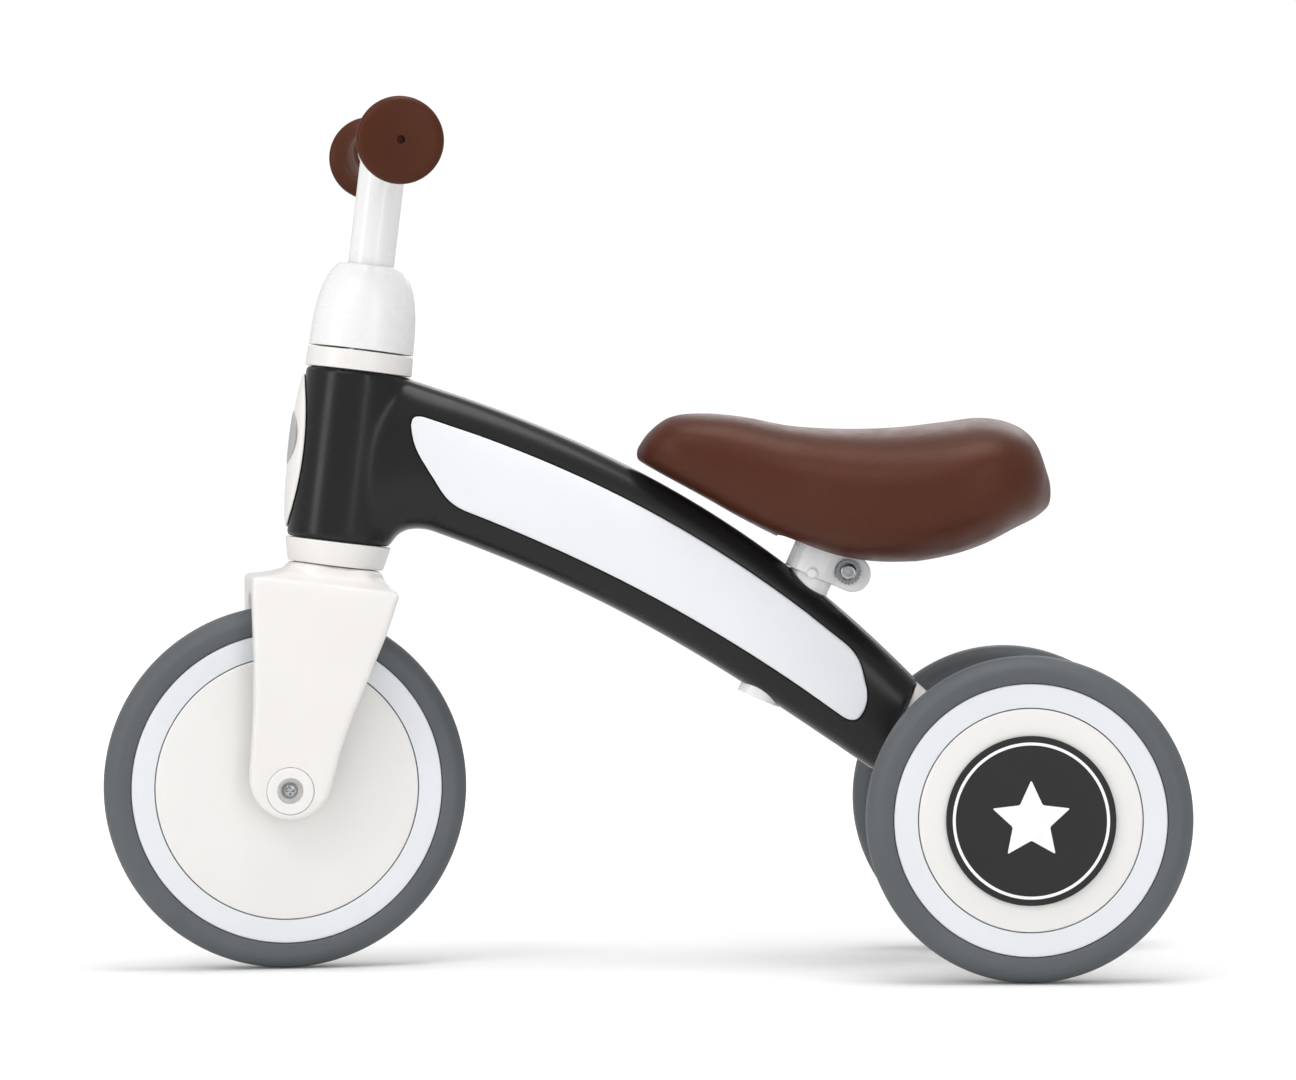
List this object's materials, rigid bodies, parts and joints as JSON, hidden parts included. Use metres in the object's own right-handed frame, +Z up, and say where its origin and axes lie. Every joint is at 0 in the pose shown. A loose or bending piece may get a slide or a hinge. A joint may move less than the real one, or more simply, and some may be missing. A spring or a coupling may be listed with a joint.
{
  "type": "toddler push-along trike",
  "caption": "Toddler's push-along trike with a steered front wheel, an arched frame with inlaid side panels, a padded saddle and a pair of rear wheels.",
  "frame": {"origin": "on the floor, under the middle of the trike's box", "axes": "+Z up, +Y towards the rear wheels, so the front faces -Y; +X is the rider's left"},
  "size_m": [0.2106, 0.5609, 0.454],
  "materials": {
    "frame_black": "glossy moulded",
    "warm_white": "satin moulded",
    "cover_white": "satin moulded",
    "steel_white": "satin powder coat",
    "panel_white": "satin moulded",
    "rim_plastic": "satin moulded",
    "disc_plastic": "fine matt moulded",
    "tyre_rubber": "soft satin foam rubber",
    "saddle_skin": "satin self-skin foam with a fine grain",
    "grip_rubber": "satin moulded",
    "label_dark": "satin printed film",
    "emblem_grey": "satin printed film",
    "base_black": "matt moulded",
    "nylon": "matt moulded",
    "steel": "bright zinc plated",
    "dark_steel": "dark zinc plated"
  },
  "bodies": {
    "frame": {"main_frame": "frame_black", "side_panel_left": "panel_white", "side_panel_right": "panel_white", "head_badge": "warm_white", "badge_emblem": "emblem_grey", "lower_bearing_cup": "warm_white", "upper_bearing_cup": "warm_white", "seat_tube_sleeve": "steel_white", "seat_clamp_collar": "cover_white", "seat_clamp_bolt": "steel", "seat_clamp_washer": "dark_steel", "seat_clamp_nut": "steel", "rear_axle_carrier": "warm_white", "carrier_screw_1": "steel", "carrier_screw_2": "steel", "rear_axle": "steel", "axle_washer_left": "steel", "axle_washer_right": "steel", "axle_nut_left": "steel", "axle_nut_right": "steel"},
    "steering": {"fork": "warm_white", "steerer_tube": "steel", "stem_collar": "cover_white", "handlebar": "steel_white", "grip_left": "grip_rubber", "grip_right": "grip_rubber", "stem_lock_screw": "steel", "fork_insert_left": "disc_plastic", "fork_insert_right": "disc_plastic", "front_axle": "steel", "front_axle_screw_left": "steel", "front_axle_screw_right": "steel", "hub_spacer_left": "nylon", "hub_spacer_right": "nylon"},
    "front_wheel": {"front_tyre": "tyre_rubber", "front_rim": "rim_plastic", "front_wheel_disc_left": "disc_plastic", "front_wheel_disc_right": "disc_plastic", "front_hub_bush_left": "nylon", "front_hub_bush_right": "nylon"},
    "seat": {"saddle": "saddle_skin", "saddle_base": "base_black", "seat_post": "steel", "saddle_screw_1": "steel", "saddle_screw_2": "steel"},
    "rear_wheel_left": {"rear_tyre_left": "tyre_rubber", "rear_rim_left": "rim_plastic", "rear_wheel_disc_left": "disc_plastic", "hub_cap_left": "label_dark", "rear_inner_bush_left": "nylon", "rear_outer_bush_left": "nylon"},
    "rear_wheel_right": {"rear_tyre_right": "tyre_rubber", "rear_rim_right": "rim_plastic", "rear_wheel_disc_right": "disc_plastic", "hub_cap_right": "label_dark", "rear_inner_bush_right": "nylon", "rear_outer_bush_right": "nylon"}
  },
  "joints": [
    {"name": "steering_turn", "type": "hinge", "parent": "frame", "child": "steering", "pos_m": [0, -0.17371, 0.09362], "axis": [0, 0.1227, 0.9924], "range_deg": [-77.1, 57.9]},
    {"name": "front_wheel_spin", "type": "hinge", "parent": "steering", "child": "front_wheel", "pos_m": [0.00203, -0.18565, 0.09509], "axis": [0.986, 0.1655, -0.0205], "continuous": true},
    {"name": "rear_left_spin", "type": "hinge", "parent": "frame", "child": "rear_wheel_left", "pos_m": [0.09, 0.19815, 0.0825], "axis": [1, 0, 0], "continuous": true},
    {"name": "rear_right_spin", "type": "hinge", "parent": "frame", "child": "rear_wheel_right", "pos_m": [-0.09, 0.19815, 0.0825], "axis": [1, 0, 0], "continuous": true},
    {"name": "seat_height", "type": "slide", "parent": "frame", "child": "seat", "axis": [0, 0.4003, 0.9164], "range_m": [0, 0.045]}
  ]
}
